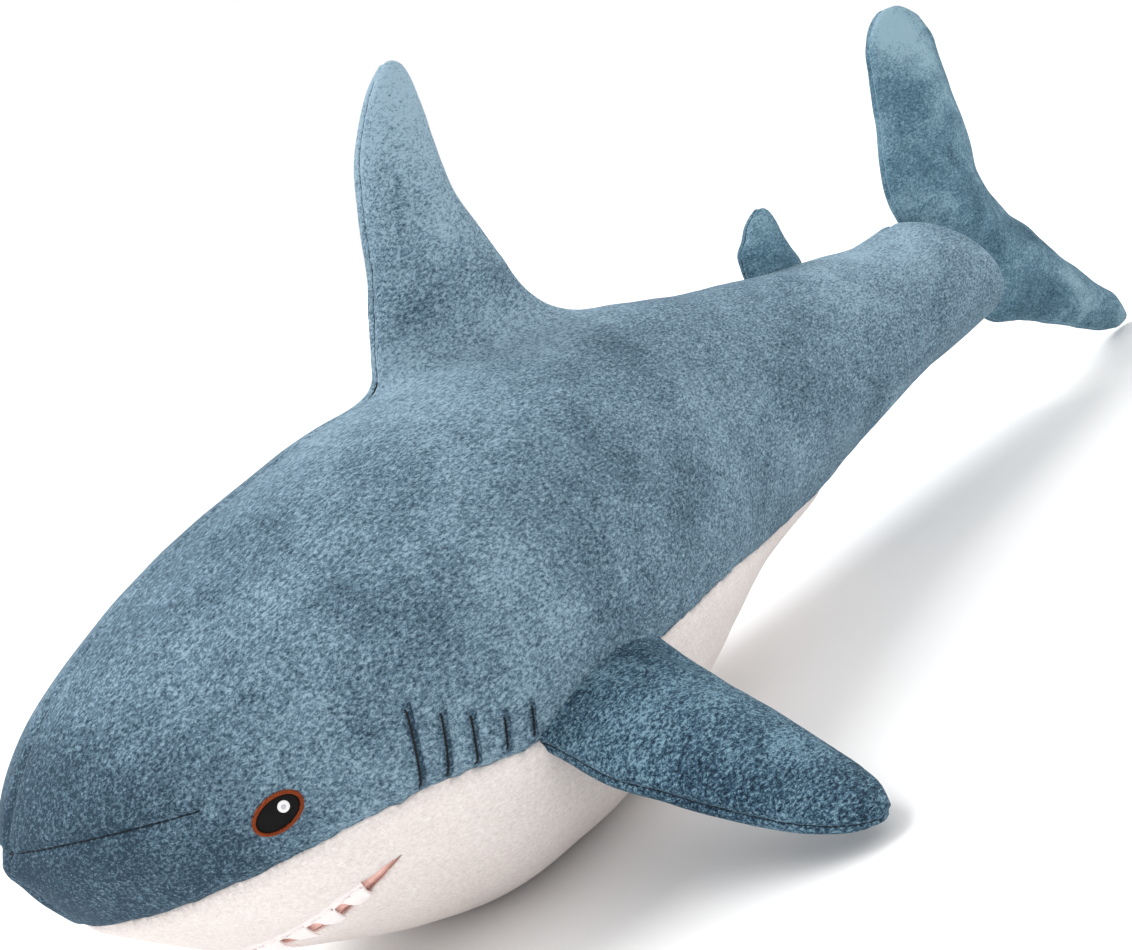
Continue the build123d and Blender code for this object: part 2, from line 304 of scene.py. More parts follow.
def points_of(bm):
    return np.array([vert.co for vert in bm.verts])


def move_points(bm, moved):
    for vert, point in zip(bm.verts, moved):
        vert.co = point


def cut_along(bm, level, number, where=None):
    """Cuts the mesh where level, a function of its points, is zero, and numbers the new seam."""
    place = bm.verts.layers.float_vector["place"]
    seam = bm.edges.layers.int["seam"]
    points = points_of(bm)
    values = level(points)
    if where is None:
        geometry = bm.verts[:] + bm.edges[:] + bm.faces[:]
    else:
        inside = where(points)
        bm.verts.index_update()
        faces = [face for face in bm.faces if all(inside[vert.index] for vert in face.verts)]
        edges = list({edge for face in faces for edge in face.edges})
        geometry = list({vert for edge in edges for vert in edge.verts}) + edges + faces
    for vert, value in zip(bm.verts, values):
        vert[place] = vert.co
        vert.co.x = value
    cut = bmesh.ops.bisect_plane(bm, geom=geometry, dist=0.25, plane_co=(0, 0, 0), plane_no=(1, 0, 0))
    for edge in cut["geom_cut"]:
        if isinstance(edge, bmesh.types.BMEdge):
            edge[seam] = number
    for vert in bm.verts:
        vert.co = vert[place]


def seam_points(bm, number):
    seam = bm.edges.layers.int["seam"]
    return np.array([vert.co for edge in bm.edges if edge[seam] == number for vert in edge.verts])


def seam_paths(bm, number, least=12):
    """The seam's runs, each as points in order."""
    seam = bm.edges.layers.int["seam"]
    beside = {}
    for edge in bm.edges:
        if edge[seam] == number:
            a, b = edge.verts
            beside.setdefault(a, []).append(b)
            beside.setdefault(b, []).append(a)
    left = dict.fromkeys(sorted(beside, key=lambda vert: (len(beside[vert]) != 1, vert.co.x, vert.co.y)))
    paths = []
    while left:
        vert = next(iter(left))
        path = []
        while vert is not None:
            left.pop(vert)
            path.append(tuple(vert.co))
            vert = next((other for other in beside[vert] if other in left), None)
        if len(path) >= least:
            paths.append(np.array(path))
    return paths


def groove(bm, numbers, depth, width, reach=30):
    """Draws the fabric in along its seams, with small uneven puckers, and puffs it up beside them."""
    points = points_of(bm)
    targets = np.concatenate([seam_points(bm, number) for number in numbers])
    distance = distance_to(points, targets, reach)
    near = np.nonzero(distance < reach)[0]
    bm.normal_update()
    normals = np.array([vert.normal for vert in bm.verts])[near]
    pucker = billows(points[near], 9, 2)
    push = depth * bell(distance[near], width) * (1 + 0.3 * pucker)
    puff = 0.25 * depth * (bell(distance[near], 3.2 * width) - bell(distance[near], width))
    points[near] += normals * (puff - push)[:, None]
    move_points(bm, points)


def label_panels(bm, levels, label):
    """Numbers each face's panel: label gets which side of each level, positive or not, the faces lie on."""
    panel = bm.faces.layers.int["panel"]
    points = points_of(bm)
    bm.verts.index_update()
    corners = [[vert.index for vert in face.verts] for face in bm.faces]
    counts = np.array([len(face) for face in corners])
    starts = np.concatenate([[0], np.cumsum(counts)[:-1]])
    flat = np.concatenate([np.array(face) for face in corners])
    sides = [np.add.reduceat(level(points)[flat], starts) > 0 for level in levels]
    middles = np.stack([np.add.reduceat(points[flat, axis], starts) / counts for axis in range(3)], axis=1)
    for face, number in zip(bm.faces, label(middles, *sides)):
        face[panel] = int(number)


def panel_faces(bm, number):
    """The faces of one panel, or of several."""
    panel = bm.faces.layers.int["panel"]
    numbers = number if isinstance(number, tuple) else (number,)
    bm.verts.index_update()
    return [[vert.index for vert in face.verts] for face in bm.faces if face[panel] in numbers]


def new_piece(name, points, faces, material, nap_and_painted_light=None):
    """A new object. The last argument gives each point's brushed pile tone with painted highlights and painted
    shade.
    """
    mesh = bpy.data.meshes.new(name)
    used = sorted({i for face in faces for i in face})
    place = {old: new for new, old in enumerate(used)}
    kept = np.asarray(points)[used] * MM
    mesh.from_pydata(kept.tolist(), [], [[place[i] for i in face] for face in faces])
    mesh.polygons.foreach_set("use_smooth", [True] * len(mesh.polygons))
    mesh.materials.append(material)
    mesh.update()
    if nap_and_painted_light is not None:
        mesh.attributes.new("nap_and_painted_light", "FLOAT", "POINT").data.foreach_set("value", nap_and_painted_light[used])
    piece = bpy.data.objects.new(name, mesh)
    bpy.context.collection.objects.link(piece)
    return piece


def thicken(piece, thickness, offset=-1.0):
    """Gives a sheet of fabric its thickness, and makes it part of the mesh."""
    modifier = piece.modifiers.new("thickness", "SOLIDIFY")
    modifier.thickness = thickness * MM
    modifier.offset = offset
    modifier.use_even_offset = False
    graph = bpy.context.evaluated_depsgraph_get()
    mesh = bpy.data.meshes.new_from_object(piece.evaluated_get(graph))
    piece.modifiers.clear()
    old = piece.data
    name = old.name
    piece.data = mesh
    bpy.data.meshes.remove(old)
    mesh.name = name
    return piece


def even_path(path, step, rounds=4):
    """The path's points at even steps, smoothed a little."""
    path = np.asarray(path, float)
    for _ in range(rounds):
        path[1:-1] = path[1:-1] * 0.5 + (path[:-2] + path[2:]) * 0.25
    length = np.concatenate([[0], np.cumsum(np.linalg.norm(np.diff(path, axis=0), axis=1))])
    count = max(3, int(length[-1] / step) + 1)
    at = np.linspace(0, length[-1], count)
    return np.stack([np.interp(at, length, path[:, axis]) for axis in range(3)], axis=1)


def cord_form(path, radius, around=6, lift=None):
    """A closed tube along a path. lift moves the path, such as off the fabric."""
    path = np.asarray(path, float)
    if lift is not None:
        path = path + lift
    tangent = np.gradient(path, axis=0)
    tangent /= np.linalg.norm(tangent, axis=1)[:, None] + 1e-9
    side = np.cross(tangent, (0.31, 0.17, 0.93))
    side /= np.linalg.norm(side, axis=1)[:, None] + 1e-9
    up = np.cross(tangent, side)
    radius = np.broadcast_to(np.asarray(radius, float), len(path))
    angles = np.arange(around) * 2 * pi / around
    rings = [
        point + r * (np.cos(angles)[:, None] * s + np.sin(angles)[:, None] * u)
        for point, r, s, u in zip(path, radius, side, up)
    ]
    return np.concatenate(rings), tube_faces(len(path), around)


def stitched_thread(path, radius, stitch=3.2):
    """A sewn line: a thread that dives into the fabric between its stitches."""
    path = even_path(path, 0.8)
    beat = np.abs(np.sin(np.arange(len(path)) * 0.8 * pi / stitch))
    return cord_form(path, radius * (0.45 + 0.55 * beat))


def padding(name, form, inset, material, voxel=9):
    """The stuffing inside a sewn form: the same form, drawn in."""
    points, faces = remeshed(form, voxel)
    points = smoothed(points, faces, 10)
    normals = normals_of(points, faces)
    points = points - normals * inset
    return new_piece(name, points, faces, material)


# ---- materials


def linear(red, green, blue):
    """A colour given as screen values from 0 to 255."""
    return tuple(((v / 255 + 0.055) / 1.055) ** 2.4 for v in (red, green, blue)) + (1,)


def new_material(name, roughness):
    material = bpy.data.materials.new(name)
    material.use_nodes = True
    shader = material.node_tree.nodes["Principled BSDF"]
    shader.inputs["Roughness"].default_value = roughness
    shader.inputs["Specular IOR Level"].default_value = 0.2
    return material, material.node_tree, shader


def add_noise(tree, scale, detail=2.0, roughness=0.5, distortion=0.0, stretch=None):
    """Noise in the object's own coordinates, with scale in cells a metre."""
    place = tree.nodes.new("ShaderNodeTexCoord").outputs["Object"]
    if stretch is not None:
        mapping = tree.nodes.new("ShaderNodeMapping")
        mapping.inputs["Scale"].default_value = stretch
        tree.links.new(place, mapping.inputs["Vector"])
        place = mapping.outputs["Vector"]
    texture = tree.nodes.new("ShaderNodeTexNoise")
    texture.inputs["Scale"].default_value = scale
    texture.inputs["Detail"].default_value = detail
    texture.inputs["Roughness"].default_value = roughness
    texture.inputs["Distortion"].default_value = distortion
    tree.links.new(place, texture.inputs["Vector"])
    return texture.outputs["Fac"]


def weigh(tree, terms, start=0.0):
    """start plus the sum of value times weight, limited to 0 to 1 at the end."""
    total = None
    for number, (value, weight) in enumerate(terms):
        node = tree.nodes.new("ShaderNodeMath")
        node.operation = "MULTIPLY_ADD"
        node.use_clamp = number == len(terms) - 1
        tree.links.new(value, node.inputs[0])
        node.inputs[1].default_value = weight
        if total is None:
            node.inputs[2].default_value = start
        else:
            tree.links.new(total, node.inputs[2])
        total = node.outputs[0]
    return total


def color_between(tree, amount, stops):
    spread = tree.nodes.new("ShaderNodeValToRGB")
    while len(spread.color_ramp.elements) < len(stops):
        spread.color_ramp.elements.new(0.5)
    for element, (place, color) in zip(spread.color_ramp.elements, stops):
        element.position = place
        element.color = color
    tree.links.new(amount, spread.inputs["Fac"])
    return spread.outputs["Color"]


def add_bump(tree, shader, height, strength, distance):
    bump = tree.nodes.new("ShaderNodeBump")
    bump.inputs["Strength"].default_value = strength
    bump.inputs["Distance"].default_value = distance
    tree.links.new(height, bump.inputs["Height"])
    tree.links.new(bump.outputs["Normal"], shader.inputs["Normal"])


def add_attribute(tree, name):
    node = tree.nodes.new("ShaderNodeAttribute")
    node.attribute_name = name
    return node.outputs["Fac"]


def plush(name, dark, middle, light, sheen, nap_and_painted_light=0.5, grain=1.0, relief=1.0):
    """Short pile: crisp speckled tufts, patches where the pile is brushed another way, and brushed places, plus
    painted highlights and painted shade from the piece's attribute.
    """
    material, tree, shader = new_material(name, 0.95)
    tufts = add_noise(tree, 740, 2, 0.7, 0.4, stretch=(0.55, 1, 1))
    specks = add_noise(tree, 1500, 2, 0.6, 0.2)
    clumps = add_noise(tree, 190, 2, 0.6, 0.8, stretch=(0.8, 1.4, 1))
    patches = add_noise(tree, 16, 4, 0.6, 1.2)
    brushed = add_noise(tree, 55, 3, 0.6, 2.0, stretch=(0.6, 1.2, 1.2))
    weights = [(tufts, 1.9 * grain), (specks, 0.9 * grain), (clumps, 0.25 * grain)]
    weights += [(patches, 0.8 * nap_and_painted_light), (brushed, 0.45 * nap_and_painted_light)]
    start = 0.5 - 0.5 * sum(weight for _, weight in weights)
    # The piece's attribute adds painted highlights and painted shade, along with brushed pile tone.
    weights.append((add_attribute(tree, "nap_and_painted_light"), 0.4))
    amount = weigh(tree, weights, start)
    color = color_between(tree, amount, [(0.15, dark), (0.5, middle), (0.85, light)])
    tree.links.new(color, shader.inputs["Base Color"])
    shader.inputs["Sheen Weight"].default_value = sheen
    shader.inputs["Sheen Roughness"].default_value = 0.45
    shader.inputs["Sheen Tint"].default_value = light
    add_bump(tree, shader, weigh(tree, [(tufts, 0.6), (specks, 0.25), (clumps, 0.25)]), relief, 0.0018)
    return material


def felt(name, dark, light):
    material, tree, shader = new_material(name, 0.9)
    fibres = add_noise(tree, 900, 4, 0.7, 1.5)
    blotches = add_noise(tree, 120, 2)
    amount = weigh(tree, [(fibres, 0.7), (blotches, 0.3)])
    tree.links.new(color_between(tree, amount, [(0.3, dark), (0.7, light)]), shader.inputs["Base Color"])
    shader.inputs["Sheen Weight"].default_value = 0.15
    add_bump(tree, shader, fibres, 0.4, 0.0004)
    return material


def satin(name, dark, light, turn=0.0):
    """Close rows of shiny embroidery thread."""
    material, tree, shader = new_material(name, 0.55)
    place = tree.nodes.new("ShaderNodeTexCoord")
    mapping = tree.nodes.new("ShaderNodeMapping")
    mapping.inputs["Rotation"].default_value = (0, turn, 0)
    rows = tree.nodes.new("ShaderNodeTexWave")
    rows.bands_direction = "Z"
    rows.inputs["Scale"].default_value = 420
    rows.inputs["Distortion"].default_value = 1.5
    tree.links.new(place.outputs["Object"], mapping.inputs["Vector"])
    tree.links.new(mapping.outputs["Vector"], rows.inputs["Vector"])
    uneven = add_noise(tree, 500, 2)
    amount = weigh(tree, [(rows.outputs["Fac"], 0.6), (uneven, 0.4)])
    tree.links.new(color_between(tree, amount, [(0.15, dark), (0.85, light)]), shader.inputs["Base Color"])
    shader.inputs["Specular IOR Level"].default_value = 0.12
    add_bump(tree, shader, rows.outputs["Fac"], 0.5, 0.0003)
    return material


def thread(name, dark, light):
    material, tree, shader = new_material(name, 0.6)
    fibres = add_noise(tree, 1400, 3, 0.6, 1.0)
    tree.links.new(color_between(tree, fibres, [(0.3, dark), (0.7, light)]), shader.inputs["Base Color"])
    add_bump(tree, shader, fibres, 0.4, 0.0002)
    return material


MATERIALS = {
    "blue_plush": plush(
        "blue_plush", linear(42, 62, 78), linear(96, 122, 139), linear(150, 176, 192), 0.25, grain=0.85
    ),
    # The fins' plush: darker than the back's, partly the pile and partly painted shade.
    "fin_plush": plush(
        "fin_plush", linear(16, 32, 48), linear(58, 86, 106), linear(124, 156, 172), 0.3, nap_and_painted_light=0.7
    ),
    "tail_plush": plush(
        "tail_plush", linear(34, 60, 78), linear(84, 118, 136), linear(142, 172, 186), 0.3, nap_and_painted_light=1.0, grain=0.55
    ),
    "white_plush": plush(
        "white_plush", linear(206, 196, 192), linear(228, 219, 215), linear(244, 238, 235), 0.15, 0.3, 0.5, 0.4
    ),
    "pink_fabric": felt("pink_fabric", linear(236, 176, 163), linear(250, 207, 197)),
    "white_felt": felt("white_felt", linear(236, 226, 224), linear(252, 247, 246)),
    "black_embroidery": satin("black_embroidery", linear(4, 4, 5), linear(20, 19, 20)),
    "brown_embroidery": satin("brown_embroidery", linear(84, 30, 10), linear(158, 74, 36), 0.6),
    "white_embroidery": satin("white_embroidery", linear(226, 226, 228), linear(252, 252, 252)),
    "grey_embroidery": satin("grey_embroidery", linear(176, 178, 182), linear(208, 210, 213)),
    "black_thread": thread("black_thread", linear(10, 12, 15), linear(38, 42, 48)),
    "blue_thread": thread("blue_thread", linear(8, 14, 22), linear(30, 42, 54)),
    # A paler thread on the tail fin's seam: a painted highlight where the raised seam ridge catches the light.
    "painted_highlight_thread": thread("painted_highlight_thread", linear(96, 124, 140), linear(150, 176, 190)),
    "fibre_fill": felt("fibre_fill", linear(222, 222, 220), linear(248, 248, 246)),
}


def finish_piece(piece, bodies, nodes, crossing=None):
    """Puts a piece on its body, or, where crossing is given, bakes its place into its mesh and puts it on no
    body.
    """
    if crossing is None:
        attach(piece, bodies)
    else:
        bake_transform(piece)
    if nodes:
        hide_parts(*nodes)
    return piece


# ---- the body's and the fins' forms

# Body sections: x, top z, bottom z, half width
BODY_SECTIONS = [
    (-500.5, 147, 147, 0),
    (-499.5, 150, 144, 4),
    (-496, 157, 137, 13),
    (-490, 167, 121, 28.5),
    (-480, 178, 104, 45.5),
    (-460, 195, 82, 68),
    (-430, 211, 57, 88),
    (-395, 224, 35, 106),
    (-350, 236, 13, 123),
    (-300, 245, -2, 130),
    (-250, 251, -5, 126),
    (-200, 251, 0, 117),
    (-150, 246, 11, 104),
    (-100, 241, 26, 90),
    (-50, 234, 41, 77),
    (10, 217, 53, 67),
    (80, 201, 65, 60),
    (150, 189, 75, 56),
    (210, 179, 81, 52),
    (265, 180, 83, 46),
    (330, 182, 86, 38),
]
WAIST = 0.47
STALK_END = 275  # where the rounded end of the tail stalk begins, at half height
STALK_LEAN = -0.551  # how far the end leans back for each millimetre of height
STALK_MIDDLE = 131
STALK_BULGE = 5
END_ROUNDING = 8
VOXEL = 2.8

SIDE_SEAM = [
    (-520, 109),
    (-470, 104),
    (-400, 103),
    (-366, 101),
    (-314, 90),
    (-189, 86),
    (-109, 79),
    (-40, 68),
    (75, 64),
]
SEAM_END = 75
SNOUT_DART = ((-505, 156), (-444, 141.6))
CORNER = (-382, 98.5)  # the mouth's corner in plan: x, and y to each side
UPPER_LIP_TOP = -438
LOWER_LIP_TOP = -422


def lip_arc(top):
    """The centre's x and the radius of the arc in plan through both corners and the lip's foremost point."""
    depth = CORNER[0] - top
    radius = (CORNER[1] ** 2 + depth**2) / (2 * depth)
    return top + radius, radius


UPPER_LIP = lip_arc(UPPER_LIP_TOP)
LOWER_LIP = lip_arc(LOWER_LIP_TOP)

# A fin's chords join its leading edge to its trailing edge, with its half thickness there:
# (along the hinge axis, away from the body) twice
SIDE_CHORDS = [
    ((-3, -16), (104, -16), 13),
    ((-2, 0), (99, 0), 17),
    ((-4, 30), (89, 28), 20),
    ((3, 62), (83, 60), 19),
    ((12, 96), (76, 94), 15),
    ((22, 120), (71, 118), 11),
    ((35, 136), (65, 134), 7),
    ((46, 144), (57, 143), 3),
]
DORSAL_CHORDS = [
    ((0, -18), (182, -18), 13),
    ((0, 0), (159, 0), 15),
    ((3, 17), (133, 17), 17),
    ((16, 36), (120, 36), 20),
    ((28, 61), (110, 61), 20),
    ((37, 92), (100, 92), 18),
    ((47, 119), (101, 117), 15),
    ((62, 142), (103, 139), 11),
    ((75, 157), (103, 154), 8),
    ((87, 167), (100, 165), 4),
]
REAR_CHORDS = [
    ((-1, -8), (62, -8), 5),
    ((0, 0), (61, 0), 6.5),
    ((1, 13), (54, 12), 8.5),
    ((9, 22), (50, 21), 8),
    ((18, 33), (47, 32), 6.5),
    ((26, 39), (44, 38), 4.5),
    ((31, 42), (39, 42), 2.5),
]
TAIL_CHORDS = [
    ((-68, 149), (-54, 158), 3),
    ((-76, 138), (-43, 161), 8),
    ((-80, 118), (-28, 161), 11),
    ((-76, 98), (-14, 152), 14),
    ((-61, 77), (7, 137), 17),
    ((-40, 50), (44, 113), 19),
    ((-6, 7), (62, 96), 20),
    ((56, -7), (80, 90), 21),
    ((124, -3), (102, 90), 20),
    ((164, 29), (127, 97), 19),
    ((194, 49), (164, 104), 17),
    ((224, 70), (196, 112), 14),
    ((252, 90), (230, 121), 11),
    ((266, 103), (253, 129), 8),
    ((274, 116), (274, 127), 3),
]


class Plane:
    """A fin's middle plane: its origin, along the hinge axis, away from the body, and across the fin."""

    def __init__(self, start, end, outward):
        self.origin = np.array(start, float)
        self.along = np.array(end, float) - self.origin
        self.along /= np.linalg.norm(self.along)
        self.across = np.cross(self.along, outward)
        self.across /= np.linalg.norm(self.across)
        self.away = np.cross(self.across, self.along)

    def at(self, u, v, w=0.0):
        u, v, w = (np.asarray(value, float)[..., None] for value in (u, v, w))
        return self.origin + u * self.along + v * self.away + w * self.across

    def local(self, points):
        offset = points - self.origin
        return offset @ self.along, offset @ self.away, offset @ self.across


SIDE_PLANE = Plane((-308, -128, 86.2), (-207, -115, 83.8), (0.096, -0.84, -0.534))
DORSAL_PLANE = Plane((-221, 0, 252.5), (-64, 0, 238), (0, 0, 1))
REAR_PLANE = Plane((82, 0, 202), (142, 0, 191.5), (0, 0, 1))
TAIL_PLANE = Plane((257.6, 0, 188), (314.4, 0, 83), (1, 0, 0))


def side_seam_height(x):
    xs, zs = zip(*SIDE_SEAM)
    return through(xs, zs, x)


def body_form(inset=0.0):
    """Rings round the body: peaked a little along the back of the head, and ending at the slanted tail seam."""
    xs, tops, bottoms, widths = (np.array(values, float) for values in zip(*BODY_SECTIONS))
    stretch = np.sqrt(xs - xs[0])
    at = np.linspace(0.35, np.sqrt(STALK_END - xs[0]), 230)
    x = at**2 + xs[0]
    angles = np.arange(180) * 2 * pi / 180
    top, bottom, width = (through(stretch, values, at) for values in (tops, bottoms, widths))
    last = len(x) - 1
    turns = np.radians([15, 30, 45, 60, 75, 90])
    order = np.concatenate([np.arange(last + 1), [last] * len(turns)])
    pushed = np.concatenate([np.zeros(last + 1), END_ROUNDING * np.sin(turns)])
    shrunk = np.concatenate([np.zeros(last + 1), END_ROUNDING * (1 - np.cos(turns))]) + inset
    rings = []
    for i, push, less in zip(order, pushed, shrunk):
        waist = bottom[i] + WAIST * (top[i] - bottom[i])
        peak = 0.08 * ramp(x[i], -497, -450) * (1 - ramp(x[i], -190, -60))
        wide, high = max(width[i] - less, 0.3), max(top[i] - waist - less, 0.3)
        low = max(waist - bottom[i] - less, 0.3)
        rise = np.where(np.sin(angles) > 0, power_wave(np.sin(angles), 2 - peak) * high, np.sin(angles) * low)
        side = np.where(np.sin(angles) > 0, power_wave(np.cos(angles), 2 - peak), np.cos(angles)) * wide
        z = waist + rise
        lean = ramp(x[i], 190, STALK_END)
        along = x[i] + push + lean * (STALK_LEAN * (z - STALK_MIDDLE) + STALK_BULGE * np.cos(angles) ** 2)
        rings.append(np.stack([along, side, z], axis=1))
    return np.concatenate(rings), tube_faces(len(rings), len(angles))


def fin_form(plane, chords, rows=70, around=64, lens=1.75, inset=0.0):
    """Rings round a fin, each a lens on one chord with its points at the fin's seam."""
    lead, trail, half = (np.array(values, float) for values in zip(*chords))
    middle = (lead + trail) / 2
    length = np.concatenate([[0], np.cumsum(np.linalg.norm(np.diff(middle, axis=0), axis=1))])
    at = np.linspace(0, length[-1], rows)
    lead = np.stack([through(length, lead[:, k], at) for k in (0, 1)], axis=1)
    trail = np.stack([through(length, trail[:, k], at) for k in (0, 1)], axis=1)
    half = through(length, half, at)
    angles = np.arange(around) * 2 * pi / around
    across, out = power_wave(np.cos(angles), lens), power_wave(np.sin(angles), lens)
    rings = []
    for front, back, thick in zip(lead, trail, half):
        chord = (back - front) / 2
        size = np.linalg.norm(chord)
        chord = chord * max(size - inset, 0.5) / size
        flat = (front + back) / 2 + across[:, None] * chord
        rings.append(plane.at(flat[:, 0], flat[:, 1], out * max(thick - inset, 0.5)))
    return np.concatenate(rings), tube_faces(rows, around)


def on_floor(points):
    """The belly rests flat: nothing goes below the floor."""
    z = points[:, 2]
    soft = 0.8
    points[:, 2] = np.where(z < 12, 0.5 * (z + np.sqrt(z * z + 4 * soft * soft)) - 0.6, z - 0.6)
    points[:, 2] = np.maximum(points[:, 2], 0.05)
    return points


# ---- the body

BACK_LEFT, BACK_RIGHT, BELLY, MOUTH, MOUTH_EDGE = range(5)
SIDE, MIDLINE, DART, LIP_EDGE = range(1, 5)
SKIN, FIN_SKIN = 1.6, 1.2
GILLS = [
    ((-360, 138), (-369, 103.5)),
    ((-348, 129), (-357, 101.5)),
    ((-337, 121), (-343, 99)),
    ((-323, 112), (-328, 96)),
    ((-309, 109), (-314, 94)),
]
# Folds in the fabric: points, width, depth
BODY_CREASES = [
    ([(-203, -14, 272), (-184, -16, 277), (-163, -19, 282), (-140, -20, 292), (-120, -16, 300)], 5.5, 4.5),
    ([(-206, -16, 262), (-193, -17, 268), (-174, -20, 276), (-144, -22, 285)], 5, 4),
    ([(-205, 14, 268), (-180, 17, 280), (-150, 20, 284)], 6, 4),
    ([(92, -34, 75), (96, -46, 86), (112, -50, 92), (122, -53, 101)], 5, 4),
    ([(100, 38, 78), (112, 50, 92), (126, 53, 104)], 6, 3.5),
    ([(140, -50, 95), (154, -54, 115), (158, -54, 138)], 9, 2),
    ([(160, -52, 92), (178, -53, 112), (186, -52, 136)], 8, 2),
    ([(180, 50, 95), (192, 51, 125)], 8, 2),
    ([(-386, -101, 84), (-393, -105, 93), (-402, -100, 99)], 6, 2.2),
    ([(-386, 101, 84), (-393, 105, 93), (-402, 100, 99)], 6, 2.2),
    ([(-366, -113, 154), (-368, -117, 138), (-371, -116, 122)], 5, 1.6),
    ([(-352, -118, 146), (-356, -121, 134), (-360, -120, 122)], 5, 1.2),
    ([(-366, 113, 154), (-368, 117, 138), (-371, 116, 122)], 5, 1.6),
]


def above_seam(points):
    """The height over the side seam."""
    return points[:, 2] - side_seam_height(points[:, 0])


def below_seam(points):
    return (above_seam(points) < 0) & (points[:, 0] < SEAM_END)


def on_snout(points):
    x, z = points[:, 0], points[:, 2]
    return (x < SNOUT_DART[1][0]) & (z > 125) & (z < 170)


def lip_level(lip):
    center, radius = lip
    return lambda points: np.hypot(points[:, 0] - center, points[:, 1]) - radius


def beside_mouth(points):
    """In front of the mouth's corners and under the side seam."""
    return (points[:, 0] < CORNER[0] + 4) & (np.abs(points[:, 1]) < CORNER[1] + 3) & below_seam(points)


def dart_level(points):
    (x0, z0), (x1, z1) = SNOUT_DART
    return points[:, 2] - z0 - (points[:, 0] - x0) * (z1 - z0) / (x1 - x0)


def side_level(points):
    wander = billows(points, 6, 5) * 1.1 + billows(points, 14, 6) * 0.8
    return above_seam(points) + wander


def body_label(middles, upward, rightward, outside_upper, outside_lower):
    """Which panel a face belongs to. The lining runs on a little behind both lips."""
    x, y = middles[:, 0], np.abs(middles[:, 1])
    behind_lips = (x < CORNER[0] + 3) & (y < CORNER[1] + 2)
    upper, lower = lip_level(UPPER_LIP)(middles), lip_level(LOWER_LIP)(middles)
    gap = ~outside_upper & outside_lower & (x < CORNER[0]) & (y < CORNER[1])
    white = np.where(gap, MOUTH, np.where(behind_lips & (upper < 4) & (lower > -4), MOUTH_EDGE, BELLY))
    return np.where(~upward & (x < SEAM_END), white, np.where(rightward, BACK_RIGHT, BACK_LEFT))


def gill_path(tree, top, bottom, side, lift):
    path = []
    for t in np.linspace(0, 1, 40):
        x, z = (a + (b - a) * t for a, b in zip(top, bottom))
        hit, normal, _, _ = tree.ray_cast(Vector((x, side * 300, z)), Vector((0, -side, 0)))
        path.append(hit + normal * lift)
    return np.array(path)


def body_skin():
    """The whole sewn body with its dorsal fin, cut along every seam."""
    points, faces = remeshed(joined([body_form(), fin_form(DORSAL_PLANE, DORSAL_CHORDS)]), VOXEL)
    points = smoothed(points, faces, 16)
    u, v, _ = DORSAL_PLANE.local(points)
    near_fin = ramp(v, -22, -6) * (1 - ramp(v, 22, 44)) * ramp(u, -30, -8) * (1 - ramp(u, 195, 225))
    points = softened(points, faces, near_fin, 70)
    uneven = billows(points, 70, 1) * 1.3 + billows(points, 26, 9) * 0.45
    points = points + normals_of(points, faces) * uneven[:, None]
    points = creased(points, normals_of(points, faces), BODY_CREASES)
    points = on_floor(points)
    bm = sewing_mesh(points, faces)
    cut_along(bm, side_level, SIDE, lambda p: (p[:, 0] < SEAM_END + 3) & (np.abs(above_seam(p)) < 14))
    cut_along(bm, lambda p: p[:, 1], MIDLINE, lambda p: ~below_seam(p - (0, 0, 0.4)))
    cut_along(bm, dart_level, DART, on_snout)
    cut_along(bm, lip_level(UPPER_LIP), LIP_EDGE, beside_mouth)
    cut_along(bm, lip_level(LOWER_LIP), LIP_EDGE, beside_mouth)
    levels = [side_level, lambda p: p[:, 1], lip_level(UPPER_LIP), lip_level(LOWER_LIP)]
    label_panels(bm, levels, body_label)
    return bm


DORSAL_BEND = (DORSAL_PLANE.at(78, 8), DORSAL_PLANE.at(78, 42))


def body_nap_and_painted_light(points):
    """Painted light on the back's pile, with uneven brushed pile tone: a painted highlight on the fin, back and
    stalk, where the key light falls, and painted shade on the snout.
    """
    x, z = points[:, 0], points[:, 2]
    fin = DORSAL_PLANE.local(points)[1] * (np.abs(x + 120) < 110)
    # Painted highlight on the fin's tip, the stalk's top and the back, which face the key light.
    tip = 0.45 * ramp(fin, 20, 90) + 0.5 * ramp(fin, 80, 165)
    stalk = 0.45 * ramp(x, 40, 150) * ramp(z, 120, 175)
    back = 0.35 * ramp(z, 215, 245) * ramp(x, -300, -250) * (1 - ramp(fin, 5, 40))
    # Painted shade: darker on the lower snout, facing away from the key light.
    snout = -0.8 * (1 - ramp(x + 0.5 * z, -410, -330))
    uneven = billows(points, 45, 21) + 0.6 * billows(points, 18, 22)
    return tip + stalk + back + snout + 0.25 * uneven


